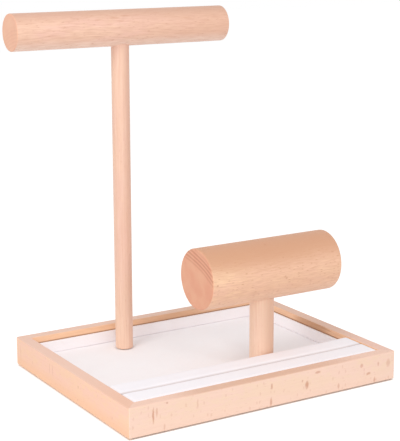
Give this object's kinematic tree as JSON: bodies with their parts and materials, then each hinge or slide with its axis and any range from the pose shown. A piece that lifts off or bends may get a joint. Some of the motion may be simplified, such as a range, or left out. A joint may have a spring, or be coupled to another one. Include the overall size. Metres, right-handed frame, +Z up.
{
  "type": "jewellery display stand with lined tray",
  "caption": "Wooden jewellery stand: a lined tray with two padded ring rolls, a tall T-bar for necklaces and a short thick bar for bracelets.",
  "frame": {"origin": "centre of the tray's footprint, on the underside of its felt", "axes": "+Z up, +X along the tray's long front side, +Y towards its back; the rolls lie along the front, at -Y"},
  "size_m": [0.26, 0.2, 0.3],
  "materials": {
    "beech": "sanded beech under a thin satin lacquer",
    "panel_board": "plain board, unseen in use",
    "lining": "short-pile cream-white velvet",
    "felt": "thin pressed felt",
    "steel": "zinc-plated steel",
    "brass": "plain machined brass"
  },
  "bodies": {
    "root": {"front_rail": "beech", "back_rail": "beech", "left_rail": "beech", "right_rail": "beech", "corner_dowels": "beech", "base_panel": "panel_board", "panel_pins": "steel", "underside_felt": "felt", "liner_floor": "lining", "liner_wall_back": "lining", "liner_wall_left": "lining", "liner_wall_right": "lining", "roll_board": "panel_board", "ring_roll_front": "lining", "ring_roll_back": "lining", "necklace_post": "beech", "necklace_bar": "beech", "bracelet_post": "beech", "bracelet_bar": "beech", "bar_screws": "steel", "post_inserts": "brass", "base_screws": "steel"}
  },
  "joints": []
}
